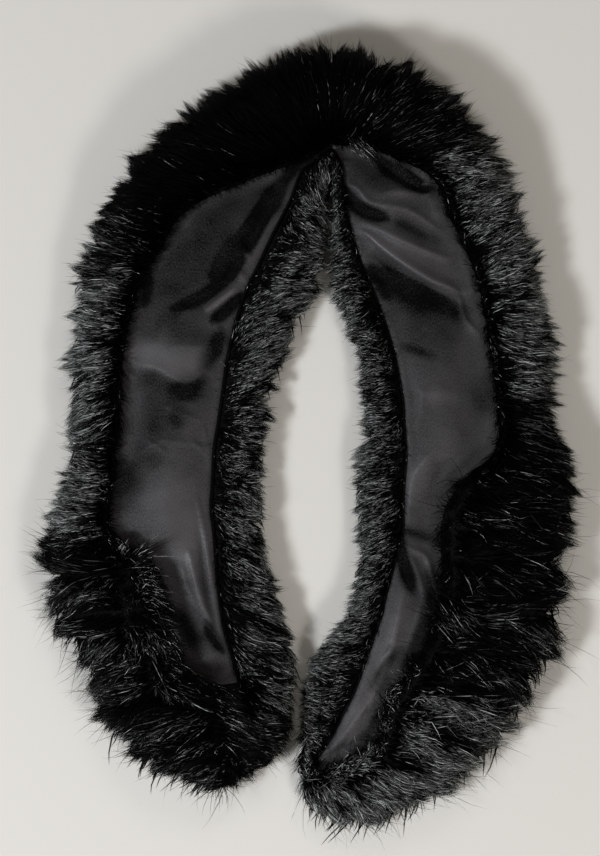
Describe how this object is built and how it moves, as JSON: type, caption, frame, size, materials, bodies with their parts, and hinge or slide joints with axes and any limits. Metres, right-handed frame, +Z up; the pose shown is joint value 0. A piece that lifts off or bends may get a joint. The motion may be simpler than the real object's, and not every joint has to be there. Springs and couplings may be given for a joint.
{
  "type": "fur collar wrap",
  "caption": "Black long-pile fur collar wrap with a satin lining, laid flat lining side up and bent into a tall oval loop round an open neck hole.",
  "frame": {"origin": "centre of the bounding box's bottom, on the surface that the wrap lies on", "axes": "+X to the right as seen from above, +Y from the free ends towards the centre back, +Z up from the surface, lining side up"},
  "size_m": [0.3506, 0.5118, 0.061],
  "materials": {
    "fur": "long black faux fur pile, soft, with grey glints along the hairs",
    "lining": "black satin, smooth, with a broad soft sheen on its folds"
  },
  "bodies": {
    "root": {"fur_left": "fur", "fur_right": "fur", "lining_left": "lining", "lining_right": "lining"}
  },
  "joints": []
}
